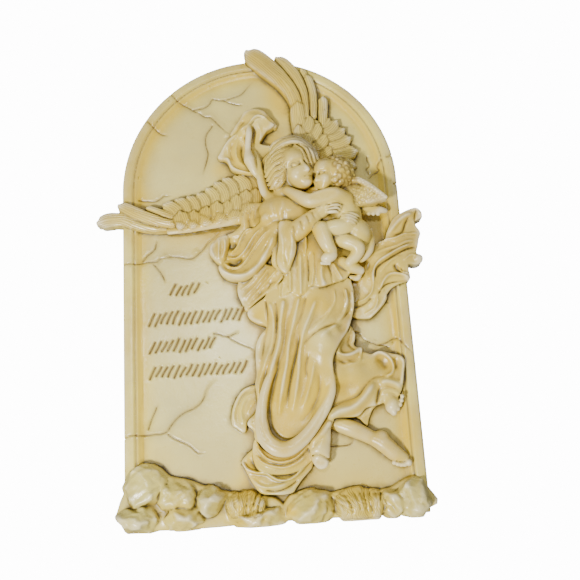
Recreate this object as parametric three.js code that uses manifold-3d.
// A cast resin wall plaque: an arched slab with a raised rim, and on it in high
// relief a winged angel carrying a cherub, over a row of boulders and grass.
// Millimetres, +Z up. The front faces -Y and the flat back lies on the plane Y = 0.
import * as THREE from 'three';
import { mergeVertices } from 'three/addons/utils/BufferGeometryUtils.js';
import Module from 'manifold-3d';

const wasm = await Module();
wasm.setup();

// The slab
const SLAB_WIDTH = 158;
const SLAB_HEIGHT = 264;
const SLAB_THICKNESS = 12;
const RIM_WIDTH = 6;
const PANEL_RECESS = 2;
const EDGE_ROUND = 1.6;

// What overhangs the slab's edge stays this far off the wall
const OVERHANG_GAP = 4;

// The figure: the height from the lowest hem to the tip of the upper wing, and how
// far its highest point stands in front of the panel
const FIGURE_HEIGHT = 254;
const RELIEF_DEPTH = 24;

// The boulders and grass along the foot
const ROCK_ROW_HEIGHT = 14;
const ROCK_DEPTH = 12;

// A boulder with more face than this, in square millimetres, has more facets
const BIG_BOULDER = 90;

// The keyhole in the back, which hangs the plaque on a screw
const HANG_HEIGHT = 205;
const KEYHOLE_BELOW = 18;
const SCREW_HEAD = 10;
const SCREW_SHANK = 5;
const KEYHOLE_DEPTH = 7;
const KEYHOLE_LIP = 2.5;
const KEYHOLE_RISE = 9;

const PANEL_FRONT = SLAB_THICKNESS - PANEL_RECESS;

// The carving is drawn on a grid: x from the middle of the slab, z from its foot,
// and lift in front of the panel. At FIGURE_HEIGHT 254 and RELIEF_DEPTH 24 a grid
// unit is one millimetre.
const GRID = FIGURE_HEIGHT / 254;
const LIFT = RELIEF_DEPTH / 24;
const FRONT = new THREE.Vector3(0, -1, 0);

// How far below the panel's face a carved form is rooted in the slab
const ROOT_LIFT = -3;

function at([x, z, lift]) {
  return new THREE.Vector3(x * GRID, -(PANEL_FRONT + lift * LIFT), z * GRID);
}

function along(points) {
  return new THREE.CatmullRomCurve3(points.map(at), false, 'centripetal');
}

// Turns a closed geometry into a solid that can be joined and cut
function solidOf(geometry) {
  let plain = geometry.clone();
  for (const name of Object.keys(plain.attributes)) {
    if (name !== 'position') plain.deleteAttribute(name);
  }
  plain = mergeVertices(plain, 1e-4);
  const vertices = Float32Array.from(plain.attributes.position.array);
  const triangles = Uint32Array.from(plain.index.array);
  if (volumeOf(vertices, triangles) < 0) triangles.reverse();
  return new wasm.Manifold(
    new wasm.Mesh({ numProp: 3, vertProperties: vertices, triVerts: triangles }),
  );
}

function volumeOf(vertices, triangles) {
  const corner = (i) => new THREE.Vector3().fromArray(vertices, 3 * triangles[i]);
  let sum = 0;
  for (let i = 0; i < triangles.length; i += 3) {
    sum += corner(i).dot(corner(i + 1).cross(corner(i + 2))) / 6;
  }
  return sum;
}

function solidOfFaces(points, faces) {
  const geometry = new THREE.BufferGeometry();
  const flat = points.flatMap((p) => [p.x, p.y, p.z]);
  geometry.setAttribute('position', new THREE.Float32BufferAttribute(flat, 3));
  geometry.setIndex(faces);
  return solidOf(geometry);
}

// Joins equal rings of points into one closed skin, with a fan over each end
function loft(rings) {
  const sides = rings[0].length;
  const points = rings.flat();
  const faces = [];
  for (let ring = 0; ring < rings.length - 1; ring++) {
    for (let side = 0; side < sides; side++) {
      const a = ring * sides + side;
      const b = ring * sides + ((side + 1) % sides);
      faces.push(a, b, b + sides, a, b + sides, a + sides);
    }
  }
  const ends = [
    [0, 1],
    [(rings.length - 1) * sides, -1],
  ];
  for (const [start, turn] of ends) {
    const middle = points.length;
    const sum = new THREE.Vector3();
    for (let side = 0; side < sides; side++) sum.add(points[start + side]);
    points.push(sum.divideScalar(sides));
    for (let side = 0; side < sides; side++) {
      const a = start + side;
      const b = start + ((side + 1) % sides);
      if (turn > 0) faces.push(middle, b, a);
      else faces.push(middle, a, b);
    }
  }
  return solidOfFaces(points, faces);
}

// A round limb, strand or roll along a curve, with a radius at each point
function limb(points, radii, { sides = 6, steps = 0 } = {}) {
  const curve = along(points);
  const stations = steps || points.length + 1;
  const rings = [];
  for (let i = 0; i <= stations; i++) {
    const t = i / stations;
    const share = t * (radii.length - 1);
    const low = Math.min(Math.floor(share), radii.length - 2);
    let radius = THREE.MathUtils.lerp(radii[low], radii[low + 1], share - low) * GRID;
    if (i === 0 || i === stations) radius *= 0.55;
    const middle = curve.getPoint(t);
    const ahead = curve.getTangent(t);
    const across = new THREE.Vector3().crossVectors(ahead, FRONT).normalize();
    const out = new THREE.Vector3().crossVectors(across, ahead).normalize();
    rings.push(
      Array.from({ length: sides }, (_, side) => {
        const turn = (2 * Math.PI * side) / sides;
        return middle
          .clone()
          .addScaledVector(across, radius * Math.cos(turn))
          .addScaledVector(out, radius * Math.sin(turn));
      }),
    );
  }
  return loft(rings);
}

// A rounded mass: half sizes across, up and out, and a turn about the view axis
function lump(centre, [across, up, out], turn = 0, sides = 8) {
  const geometry = sides > 6
    ? new THREE.SphereGeometry(1, sides, Math.round(sides * 0.55))
    : new THREE.IcosahedronGeometry(1, 0);
  geometry.scale(across * GRID, out * LIFT, up * GRID);
  geometry.rotateY(-THREE.MathUtils.degToRad(turn));
  const place = at(centre);
  geometry.translate(place.x, place.y, place.z);
  return solidOf(geometry);
}

// A carved sheet: rows of points on its face, and the same rows set back to its root.
// Its four sides are closed with walls, so that it can be joined to what lies behind.
function sheet(rows, root = ROOT_LIFT) {
  const back = -(PANEL_FRONT + root * LIFT);
  const columns = rows[0].length;
  const face = rows.flat();
  const points = [...face, ...face.map((p) => new THREE.Vector3(p.x, back, p.z))];
  const last = rows.length - 1;
  const front = (row, column) => row * columns + column;
  const rear = (row, column) => front(row, column) + face.length;
  const faces = [];
  const quad = (a, b, c, d) => faces.push(a, b, c, a, c, d);
  for (let row = 0; row < last; row++) {
    for (let column = 0; column < columns - 1; column++) {
      const [here, next] = [column, column + 1];
      quad(front(row, here), front(row, next), front(row + 1, next), front(row + 1, here));
      quad(rear(row, next), rear(row, here), rear(row + 1, here), rear(row + 1, next));
    }
    quad(rear(row, 0), front(row, 0), front(row + 1, 0), rear(row + 1, 0));
    const end = columns - 1;
    quad(front(row, end), rear(row, end), rear(row + 1, end), front(row + 1, end));
  }
  for (let column = 0; column < columns - 1; column++) {
    const [here, next] = [column, column + 1];
    quad(front(0, next), front(0, here), rear(0, here), rear(0, next));
    quad(front(last, here), front(last, next), rear(last, next), rear(last, here));
  }
  return solidOfFaces(points, faces);
}

// Cloth between two guide curves. It runs from one to the other in folds, and
// stands highest along its middle.
function cloth(left, right, { folds = 3, deep = 1.6, crown = 1.5, steps = 5, root } = {}) {
  const [leftEdge, rightEdge] = [along(left), along(right)];
  const across = Math.max(3, 2 * folds);
  const rows = Array.from({ length: steps + 1 }, (_, i) => {
    const start = leftEdge.getPoint(i / steps);
    const end = rightEdge.getPoint(i / steps);
    return Array.from({ length: across + 1 }, (_, j) => {
      const s = j / across;
      const arch = crown * Math.sqrt(Math.max(0, Math.sin(Math.PI * s)));
      const fold = (deep / 2) * (1 - Math.cos(2 * Math.PI * folds * s));
      return start.clone().lerp(end, s).addScaledVector(FRONT, (arch + fold) * LIFT);
    });
  });
  return sheet(rows, root);
}

// One feather: a blade with a raised quill and a round end
function feather(points, width, { steps = 4, thick = 2.4, root } = {}) {
  const curve = along(points);
  const rows = Array.from({ length: steps + 1 }, (_, i) => {
    const t = i / steps;
    const across = new THREE.Vector3().crossVectors(curve.getTangent(t), FRONT);
    across.setY(0).normalize();
    const blunt = Math.sqrt(Math.max(0.08, 1 - Math.max(0, (t - 0.7) / 0.3) ** 2));
    const half = (width / 2) * GRID * blunt * (0.72 + 0.28 * Math.sin(Math.PI * t));
    return [-1, 0, 1].map((side) =>
      curve.getPoint(t).addScaledVector(across, side * half)
        .addScaledVector(FRONT, -thick * Math.abs(side) * LIFT),
    );
  });
  return sheet(rows, root);
}

// A row of feathers side by side, from a curve of roots to a curve of tips. Each has
// a raised quill and a rounded tip that stands out past its edges.
function featherRow(roots, tips, count, { tip = 3, thick = 2.2, rows = [0, 0.62, 1], root } = {}) {
  const [rootLine, tipLine] = [along(roots), along(tips)];
  const row = (t, push) =>
    Array.from({ length: 2 * count + 1 }, (_, j) => {
      const s = j / (2 * count);
      const edge = 1 - (j % 2);
      const start = rootLine.getPoint(s);
      const end = tipLine.getPoint(s);
      const way = end.clone().sub(start).setY(0).normalize();
      return start.lerp(end, t)
        .addScaledVector(way, -edge * push * GRID)
        .addScaledVector(FRONT, -edge * thick * LIFT * (0.4 + 0.6 * t));
    });
  return sheet(rows.map((t) => row(t, t === 1 ? tip : 0)), root);
}

// The arched outline, drawn in from the slab's edge by an inset
function archOutline(inset) {
  const half = SLAB_WIDTH / 2 - inset;
  const springing = SLAB_HEIGHT - SLAB_WIDTH / 2;
  const outline = new THREE.Shape();
  outline.moveTo(half, inset);
  outline.lineTo(half, springing);
  outline.absarc(0, springing, half, 0, Math.PI, false);
  outline.lineTo(-half, inset);
  outline.closePath();
  return outline;
}

// Extrudes an outline drawn in X and Z, from one depth in front of the back to another
function extrudeBetween(outline, from, to, segments, bevel = 0) {
  const geometry = new THREE.ExtrudeGeometry(outline, {
    depth: to - from - bevel,
    bevelEnabled: bevel > 0,
    bevelSize: bevel,
    bevelOffset: -bevel,
    bevelThickness: bevel,
    bevelSegments: 1,
    curveSegments: segments,
  });
  geometry.rotateX(Math.PI / 2);
  geometry.translate(0, -from, 0);
  return solidOf(geometry);
}

function slab() {
  const segments = 13;
  const blank = extrudeBetween(archOutline(0), EDGE_ROUND, SLAB_THICKNESS, segments, EDGE_ROUND);
  const sunk = extrudeBetween(archOutline(RIM_WIDTH), PANEL_FRONT, SLAB_THICKNESS + 5, segments);
  return blank.subtract(sunk);
}

// The pocket that the screw's head enters, and the slot that it rises into
function keyhole() {
  const bottom = HANG_HEIGHT - KEYHOLE_BELOW;
  const pocket = (radius, from, to) => {
    const rise = new THREE.Shape();
    rise.moveTo(radius, bottom);
    rise.lineTo(radius, bottom + KEYHOLE_RISE);
    rise.absarc(0, bottom + KEYHOLE_RISE, radius, 0, Math.PI, false);
    rise.lineTo(-radius, bottom);
    rise.absarc(0, bottom, radius, Math.PI, 2 * Math.PI, false);
    return extrudeBetween(rise, from, to, 6);
  };
  const entry = new THREE.Shape();
  entry.absarc(0, bottom, SCREW_HEAD / 2 + 0.5, 0, 2 * Math.PI, false);
  return pocket(SCREW_SHANK / 2, -1, KEYHOLE_LIP + 1)
    .add(pocket(SCREW_HEAD / 2 + 0.5, KEYHOLE_LIP, KEYHOLE_DEPTH))
    .add(extrudeBetween(entry, -1, KEYHOLE_DEPTH, 6));
}

// The wing on the viewer's left, stretched out beyond the slab's edge
function leftWing() {
  const longFeathers = [
    feather(
      [[-44, 161.5, 4], [-60, 161, 4], [-73, 164.5, 4.4], [-84, 168, 4.6], [-93, 166, 4.6]],
      8.6,
      { steps: 6 },
    ),
    feather([[-42, 163, 6], [-56, 166.5, 6], [-70, 171.5, 6], [-83, 176.8, 5.6]], 8.8, { steps: 5 }),
    feather([[-40, 164, 5], [-54, 170, 5], [-68, 175.4, 4.4]], 7.4),
  ];
  const flightRow = featherRow(
    [[-50, 164, 4], [-38, 165.5, 4.2], [-24, 169, 5], [-10, 173, 5.8], [2, 178, 6]],
    [
      [-64, 175, 4], [-56, 179.5, 4.2], [-44, 182.4, 4.6],
      [-31, 187, 5.2], [-18, 192.6, 5.8], [-6, 194.6, 6],
    ],
    8,
    { rows: [0, 1] },
  );
  const covertRow = featherRow(
    [[-46, 161, 6], [-28, 163.5, 6.6], [-12, 166.5, 7.2], [4, 170, 8]],
    [[-52, 169.5, 5.8], [-38, 172.4, 6.4], [-24, 175.4, 7], [-10, 180, 7.6], [2, 182.6, 8]],
    7,
    { rows: [0, 1] },
  );
  const smallRow = featherRow(
    [[-42, 159.5, 7.4], [-22, 161.5, 8], [-2, 164.5, 8.6]],
    [[-47, 165, 7.2], [-30, 168, 7.8], [-14, 170.6, 8.4], [0, 174.6, 9]],
    5,
    { tip: 2, rows: [0, 1] },
  );
  const armEdge = limb(
    [[4, 165, 6], [-14, 164, 5.4], [-32, 162, 4.8], [-52, 161.5, 3.6]],
    [4, 3.4, 2.8, 1.6],
  );
  return [...longFeathers, flightRow, covertRow, smallRow, armEdge];
}

// The wing on the viewer's right, raised over the arch
function rightWing() {
  const longFeathers = [
    feather([[31, 222, 4], [32.5, 242, 4], [28, 258, 4]], 7),
    feather([[28, 224, 5], [28, 241, 5], [22, 256, 5], [13, 265.6, 4.6]], 9.4, { steps: 5 }),
    feather([[25, 224, 6.4], [20, 241, 6.4], [10, 256, 6.2], [-4.5, 269.4, 5.6]], 11.5, { steps: 6 }),
    feather([[33, 220, 5], [35, 239, 5], [32.5, 255, 4.6]], 7),
    feather([[36, 216, 4.4], [39, 229, 4.4], [40.6, 240.5, 4]], 7.4),
  ];
  const flightRow = featherRow(
    [[33, 218, 4], [36, 210, 4], [38, 203, 4], [40, 194, 4]],
    [[43, 228.5, 3.8], [51.5, 221.5, 3.8], [56.5, 212.5, 3.8], [60, 201.5, 3.8], [57, 189, 3.8]],
    6,
  );
  const covertRow = featherRow(
    [[27, 219, 6], [29, 212, 6], [31, 206, 6], [34, 199, 6]],
    [[32, 228.5, 5.4], [39, 221.5, 5.6], [43, 212.5, 5.6], [45.5, 201, 5.6]],
    5,
    { rows: [0, 1] },
  );
  const smallRow = featherRow(
    [[24, 218, 7.4], [25, 211, 7.4], [28, 203, 7.4]],
    [[29, 224, 7], [33, 214, 7], [35, 203, 7]],
    4,
    { tip: 2, rows: [0, 1] },
  );
  const armEdge = limb(
    [[26, 200, 5], [23.5, 213, 5], [24.5, 224, 5.4], [24.8, 232, 5]],
    [4, 3.4, 3.6, 4.2],
  );
  return [...longFeathers, flightRow, covertRow, smallRow, armEdge];
}

// The veil that blows up behind the head
function veil() {
  return [
    cloth(
      [[-12, 190, 4], [-15, 205, 5], [-13.5, 217, 5], [-8, 226.5, 5], [0, 229.5, 4.5], [11.5, 219.5, 3]],
      [[1, 186, 7], [-2, 200, 8], [-5, 212, 9], [-1, 219.5, 8.5], [4, 222, 7.5], [9.5, 218, 4.5]],
      { folds: 1, crown: 2.4, deep: 1.2, steps: 6 },
    ),
    cloth(
      [[-6, 203, 8], [-5, 213, 9], [0, 220, 8.6], [6, 220.5, 6.6], [10.5, 218, 4.6]],
      [[1, 200, 5], [2, 208, 5], [3.5, 211.5, 5], [6.5, 214.5, 5], [10, 217, 4]],
      { folds: 1, crown: 0.6, deep: 1 },
    ),
    cloth(
      [[-11, 214, 4], [-19.5, 206, 4.6], [-21.5, 200.5, 4.6], [-15.5, 195, 5], [-9, 189.5, 6], [0, 186, 7]],
      [[-7, 212, 6], [-9, 206, 7], [-9, 200, 7], [-6, 195, 7.4], [-2, 191, 8], [2, 187, 8]],
      { folds: 2, crown: 1, deep: 1.6 },
    ),
    limb(
      [[-4.5, 212, 9], [-5, 204, 9], [-4.5, 196, 9], [-1, 188, 9], [2, 179, 10], [7, 173, 12]],
      [2, 2.2, 3.8, 2.4, 2.2, 3],
    ),
  ];
}

// The mantle that swings out in a loop at the left of the waist
function mantle() {
  return [
    cloth(
      [[-7, 169, 8], [-10, 161, 8], [-16, 154, 7], [-21, 149, 6], [-23, 140, 6]],
      [[3, 160, 11], [-1, 152, 10], [-6, 145, 8], [-11, 140, 7], [-17, 136, 6]],
      { folds: 3, crown: 0.5, deep: 2, steps: 4 },
    ),
    cloth(
      [
        [-25, 141, 6], [-23, 132, 8], [-14, 128.5, 9], [-4, 131, 11],
        [4, 139, 13], [10, 148, 16], [14, 154, 18],
      ],
      [
        [-22, 140, 6], [-17, 137.5, 8], [-11, 139.5, 10], [-4, 146, 13],
        [2, 151, 15], [8, 156, 17], [13, 158, 19],
      ],
      { folds: 2, crown: 2, deep: 1.8, steps: 6 },
    ),
    cloth(
      [[-20, 153.5, 5], [-26, 152, 5], [-29.5, 146.5, 5], [-27, 141, 6], [-24, 136, 7]],
      [[-19, 151, 7], [-21, 149, 8], [-21.5, 145, 8], [-22, 141, 8], [-22, 136, 8]],
      { folds: 2, crown: 1.5, deep: 1.2 },
    ),
    limb(
      [[5, 170, 12], [-4, 169.5, 10], [-9, 165.5, 9], [-10, 158, 9], [-15, 152, 8]],
      [3, 2.4, 2.2, 2.2, 1.8],
    ),
  ];
}

// The tunic over the hips, its flying corner and the hanging sleeve
function tunic() {
  return [
    lump([24, 150, 7], [18, 24, 11], -6),
    cloth(
      [[2, 136, 8], [-8, 129, 7], [-13.5, 122, 6], [-13, 116, 5], [-10, 110.5, 4]],
      [[12, 136, 14], [12, 128, 13], [8, 122.5, 11], [1, 118, 8], [-8, 111.5, 5]],
      { folds: 3, crown: 1.4, deep: 1.8 },
    ),
    cloth(
      [[8, 150, 14], [5, 138, 13], [4, 127, 12], [4, 117.5, 11]],
      [[42, 150, 14], [44, 141, 14], [47, 132, 14], [47.5, 123, 13]],
      { folds: 4, crown: 2, deep: 2, steps: 4 },
    ),
    cloth(
      [[37, 142, 14], [38, 134, 16], [40, 127, 15], [44, 123.5, 14]],
      [[50, 146, 9], [53, 137, 9], [55, 130, 9], [52, 124, 8]],
      { folds: 2, crown: 1, deep: 1.6, steps: 4 },
    ),
    cloth(
      [[10, 157, 18], [7.5, 147, 18], [7, 138, 17], [12, 130, 14]],
      [[17.5, 157, 19], [19, 148, 20], [18, 139, 19], [13.6, 129.6, 15]],
      { folds: 1, crown: 1.6, deep: 0.8 },
    ),
    cloth(
      [[17, 152, 17], [18, 145, 17], [17, 137, 16], [14, 130, 14]],
      [[22, 149, 17], [25, 142, 16], [22.5, 134, 15], [15, 129.5, 14]],
      { folds: 1, crown: 1, deep: 0.8 },
    ),
  ];
}

// The angel's shoulder, the sleeved forearm and the hand that holds the cherub
function carryingArm() {
  const fingers = [0, 1, 2, 3].map((i) => {
    const z = 167 - 2.1 * i;
    return limb(
      [[35, z - 1, 19], [39, z + 0.3, 20.4], [43.5 + (i === 1 ? 1 : 0), z, 19.4]],
      [1.1, 1.2, 1],
      { sides: 5, steps: 3 },
    );
  });
  return [
    lump([13, 164, 11], [13.5, 10, 9.5], -12),
    limb([[10, 160, 15], [17, 151.5, 17], [25, 154, 18], [30, 160, 18]], [6.5, 6.4, 5.6, 4.4]),
    lump([34, 163, 17.4], [6, 4.4, 3.4], 28),
    ...fingers,
  ];
}

// The skirt: long folds, a rolled edge that swings round them, and the hem below
function skirt() {
  return [
    cloth(
      [[3, 122, 9], [3, 104, 9], [-1, 92, 9], [-3, 75, 8], [-3, 56, 8], [3, 34, 8]],
      [[47, 122, 9], [46, 108, 10], [38, 94, 11], [33, 80, 10], [31, 60, 10], [13, 35, 8]],
      { folds: 5, crown: 4.5, deep: 2.4, steps: 5 },
    ),
    cloth(
      [[-9.5, 110, 4], [-8, 104.5, 4], [0, 100, 6], [-6, 90, 6], [-6.5, 72, 6], [-8.5, 56, 7], [-9.5, 46, 8]],
      [[4, 116, 11], [4, 108, 11], [4, 99, 12], [0, 88, 12], [-2, 70, 12], [-4, 56, 12], [-4, 44, 12]],
      { folds: 2, crown: 1, deep: 1.8, steps: 5 },
    ),
    cloth(
      [[32, 121, 14], [31, 111, 15], [26, 103, 15], [18, 96, 14]],
      [[47.5, 122, 12], [48.5, 112, 11], [46, 100, 10], [39, 90, 11]],
      { folds: 2, crown: 2, deep: 1.6 },
    ),
    limb(
      [[-6, 64, 11], [-6.5, 50, 11.6], [-4, 41, 12.4], [2, 36.5, 13], [9, 36.5, 13], [16, 41, 13],
        [23, 49, 13], [29, 59, 13], [33, 70, 13], [32, 84, 13]],
      [2.4, 3.6, 3.8, 3.8, 3.6, 3.2, 3, 3, 3.2, 3],
      { steps: 11 },
    ),
    cloth(
      [[-9, 41, 8], [-6, 36, 9], [0, 32.5, 10], [8, 32.5, 10.6], [15, 37, 10.6], [22, 44, 10]],
      [[-16.5, 31, 5], [-12, 22, 6], [-4, 14.5, 8], [6, 13.5, 9], [13, 20, 8.6], [20, 29, 8]],
      { folds: 3, crown: 1.4, deep: 2 },
    ),
    cloth(
      [[-8, 71, 3.4], [-15, 66.5, 3], [-20.5, 57, 3], [-20, 50, 3], [-14.5, 45.5, 3]],
      [[-5, 70, 6], [-7, 62, 6], [-8, 57, 5.6], [-11.5, 52, 5], [-13, 47, 4]],
      { folds: 1, crown: 1.4, deep: 1 },
    ),
  ];
}

// The part of the skirt that streams back over the bent leg
function train() {
  return [
    cloth(
      [[34, 84, 11], [44, 80, 10], [54, 83, 7], [62, 84.5, 5]],
      [[20, 44, 11], [33, 50, 10], [46, 51, 9], [58, 60, 8]],
      { folds: 2, crown: 2, deep: 1.4 },
    ),
    cloth(
      [[41, 99, 8], [37.5, 90, 10], [34, 83, 11], [38, 78.5, 10]],
      [[46, 99, 5], [47.5, 92, 6], [50, 85.5, 7], [48, 77, 7]],
      { folds: 2, crown: 1.4, deep: 1.6, steps: 4 },
    ),
    cloth(
      [[58, 84.5, 4], [63, 79, 6], [62, 71, 7], [58, 66, 7]],
      [[68, 84, 4], [73.5, 79.5, 4], [72, 72, 5], [69, 64, 6]],
      { folds: 1, crown: 1.4, deep: 1.2, steps: 4 },
    ),
    limb([[32, 50, 8], [28.5, 42, 9], [25.5, 34, 9], [24, 28, 8]], [3, 3.8, 4.4, 4.2]),
  ];
}

// The two bare feet
function feet() {
  const toes = [0, 1, 2].map((i) =>
    lump([65 + 1.7 * i, 53.4 + 2.6 * i, 5.8], [2, 2, 2.4], 60, 6),
  );
  return [
    limb([[44, 53, 7], [52, 59, 9], [58, 65, 9.4], [65, 65, 8]], [3.4, 5, 5.4, 4.6]),
    limb([[62, 66, 7], [64, 60, 7], [66, 55, 6]], [5.4, 5, 3.4], { steps: 3 }),
    ...toes,
    limb(
      [[32, 47, 2.6], [42, 44, 3.2], [51, 40, 3], [58, 35.5, 3.4], [64, 30.6, 3.2], [69.5, 27.4, 2]],
      [4.4, 5, 4.4, 5, 4.6, 2.6],
    ),
  ];
}

// The scarf that flies out over the right edge
function scarf() {
  const hem = { root: ROOT_LIFT - 2 };
  return [
    cloth(
      [[56, 142, 3], [65, 144.5, 4], [71, 152, 4], [77, 160, 4], [87, 163.5, 3.4]],
      [[56, 130, 5], [66, 133, 6], [76, 139, 5], [84, 145, 4.4], [87, 153, 4]],
      { folds: 2, crown: 1, deep: 1.6, steps: 4, ...hem },
    ),
    cloth(
      [[48, 120, 4], [57, 124, 5], [62, 132, 6], [72, 140, 6], [88, 149, 4]],
      [[48, 108, 4], [58, 112, 5], [62, 122, 6], [70, 131, 6], [85, 138, 4]],
      { folds: 2, crown: 1.4, deep: 2, steps: 4, ...hem },
    ),
    cloth(
      [[47, 114, 3], [58, 116, 5], [64, 125, 6], [71, 132, 6], [82, 137, 4.4]],
      [[47, 103, 3], [57, 102.5, 3], [64, 110, 3], [69, 118, 3], [79, 122.5, 3]],
      { folds: 2, crown: 1, deep: 1.8, steps: 4, ...hem },
    ),
    lump([87.5, 160, 1.6], [3.2, 3.8, 3], -20, 8),
    lump([84, 134, 1.6], [4, 3, 3], 10, 8),
  ];
}

// The angel's head, bowed to the right: hair drawn back under a band
function angelHead() {
  const tilt = 17;
  const locks = [0, 1, 2, 3].map((i) => {
    const z = 194 - 4.2 * i;
    return limb(
      [[16 - 0.4 * i, z + 1, 17], [10, z - 1, 17.6 - 0.4 * i], [4.5 + 1.4 * i, z - 3, 12 - 0.4 * i]],
      [1.8, 2.5, 1.6],
      { sides: 5, steps: 3 },
    );
  });
  return [
    lump([16, 191, 9], [12.5, 15, 8.5], tilt),
    lump([22, 188, 12.5], [7.8, 11.6, 6.6], tilt),
    limb([[24, 194, 17.6], [26, 189.5, 18.6], [26.4, 187, 18.4]], [1.4, 1.5, 1.8], { sides: 5, steps: 3 }),
    lump([26.4, 183.4, 16.6], [2.4, 1.6, 2], tilt, 8),
    lump([25.4, 179.4, 15.4], [2.8, 2.6, 2.6], tilt, 8),
    limb([[5, 194, 11], [12, 200.5, 15.4], [20, 204, 15.6], [27, 203, 12]], [1.2, 1.4, 1.4, 1]),
    limb([[26, 203, 9], [31, 196, 11], [32, 187, 12], [31, 179, 12]], [2, 2.4, 2.2, 1.6]),
    ...locks,
    lump([17, 176, 8], [7, 8, 7], -20),
  ];
}

// The cherub: round head with curls, arm about the angel's neck, bent legs, small wing
function cherub() {
  const curls = Array.from({ length: 8 }, (_, i) => {
    const inner = i > 5;
    const turn = THREE.MathUtils.degToRad(inner ? 0 + 60 * (i - 6) : -50 + 38 * i);
    const reach = inner ? 4.6 : 8.8;
    return lump(
      [44 + reach * Math.cos(turn), 185.5 + reach * Math.sin(turn), inner ? 20 : 16],
      [3, 3, 3], 0, 6,
    );
  });
  return [
    lump([43.5, 185, 13.5], [10, 10, 9.2]),
    lump([43, 180, 5], [8.5, 11, 9]),
    lump([36, 183, 13.5], [5.6, 7.2, 6.4], 8),
    lump([31.8, 183.6, 14.6], [1.6, 1.5, 1.6], 0, 6),
    ...curls,
    limb(
      [[44, 171, 18], [35, 167.6, 19], [28, 168, 19.4], [21, 173, 18], [14.5, 176, 16]],
      [5.2, 5, 4.6, 4.2, 2.8],
    ),
    lump([48, 162, 11], [9, 13, 8.5], 18),
    lump([54, 151, 11], [7.4, 8.4, 8], 20),
    lump([42, 152.8, 15.6], [12, 5.8, 6.2], 3),
    limb([[32, 151.5, 15.6], [35, 144, 17], [38, 138, 17]], [5.2, 4.4, 3.8]),
    lump([35.4, 134.6, 17], [5, 3.4, 3.4], 28),
    limb([[44, 147, 13], [50, 143, 14.6], [53, 139, 14], [49, 132, 13]], [4.6, 5, 4.8, 4]),
    feather(
      [[46, 169.5, 15], [56, 170, 17], [64, 167.4, 18.6], [70.5, 163.4, 19]],
      13,
      { thick: 4, root: 2 },
    ),
    featherRow([[49, 167, 12], [65, 166, 13]], [[52, 159, 10], [66, 160.5, 11]], 4, { root: 2 }),
  ];
}

// One boulder: a ball of few facets with its corners pushed in and out
function boulder([x, z], [half, rise, out], seed) {
  const ball = new THREE.IcosahedronGeometry(1, half * rise > BIG_BOULDER ? 1 : 0);
  const geometry = mergeVertices(ball.deleteAttribute('normal').deleteAttribute('uv'));
  const corners = geometry.attributes.position;
  for (let i = 0; i < corners.count; i++) {
    const wobble = Math.sin(12.9898 * (i + 1) + 78.233 * seed) * 43758.5453;
    const push = 0.88 + 0.2 * (wobble - Math.floor(wobble));
    corners.setXYZ(i, corners.getX(i) * push, corners.getY(i) * push, corners.getZ(i) * push);
  }
  geometry.scale(half, out, rise);
  geometry.translate(x, -(PANEL_FRONT - 1), z);
  return solidOf(geometry);
}

// The boulders and two tufts of grass along the foot, spread over the slab's width
function ground() {
  const across = SLAB_WIDTH / 158;
  const up = ROCK_ROW_HEIGHT / 14;
  const stones = [
    [[-67, 20.5], [11, 11.5, 0.85]],
    [[-70.6, 5.6], [11.6, 7.6, 1.05]],
    [[-51, 15], [11, 8.6, 1]],
    [[-46, 5.6], [12, 5.6, 0.9]],
    [[-33, 12.4], [8, 8, 1.05]],
    [[-15, 3.4], [20, 5.4, 0.9]],
    [[18, 6], [13, 7.4, 1]],
    [[70, 7.6], [10.5, 9.2, 1.1]],
    [[59, 6], [7.5, 6, 0.9]],
  ].map(([[x, z], [half, rise, out]], seed) =>
    boulder([x * across, z * up], [half * across, rise * up, out * ROCK_DEPTH], seed),
  );
  const tuft = (from, to, high, blades) => {
    const line = (z, spread, lift) =>
      [-1, 0, 1].map((side) => {
        const x = (from + to) / 2 + (side * spread * (to - from)) / 2;
        const bow = 1 - 0.3 * side * side;
        return [(x * across) / GRID, (z * bow * up) / GRID, lift * ROCK_DEPTH];
      });
    const blade = { tip: 4, thick: 1.6, rows: [0, 1] };
    return featherRow(line(0.4, 0.8, 0.75), line(high, 1, 0.3), blades, blade);
  };
  return [...stones, tuft(-28, 5, 18, 6), tuft(28, 56, 17, 5)];
}

function plaque() {
  const carving = [
    ...leftWing(),
    ...rightWing(),
    ...veil(),
    ...mantle(),
    ...tunic(),
    ...skirt(),
    ...train(),
    ...feet(),
    ...scarf(),
    ...carryingArm(),
    ...cherub(),
    ...angelHead(),
    ...ground(),
  ];
  const wallSide = new THREE.BoxGeometry(2 * SLAB_WIDTH, 100, 2 * SLAB_HEIGHT);
  wallSide.translate(0, 50 - OVERHANG_GAP, SLAB_HEIGHT / 2);
  const relief = carving.reduce((whole, piece) => whole.add(piece));
  return slab().add(relief.subtract(solidOf(wallSide))).subtract(keyhole());
}

function geometryOf(solid) {
  const mesh = solid.getMesh();
  const geometry = new THREE.BufferGeometry();
  geometry.setAttribute('position', new THREE.BufferAttribute(mesh.vertProperties, 3));
  geometry.setIndex(new THREE.BufferAttribute(mesh.triVerts, 1));
  return geometry;
}

const resin = new THREE.MeshStandardMaterial({ color: 0xd9cda2, roughness: 0.42, metalness: 0 });
const casting = new THREE.Mesh(geometryOf(plaque()), resin);
casting.name = 'plaque';

// The origin is on the flat back, just above the keyhole
const model = new THREE.Group();
casting.position.z = -HANG_HEIGHT;
model.add(casting);
export default model;
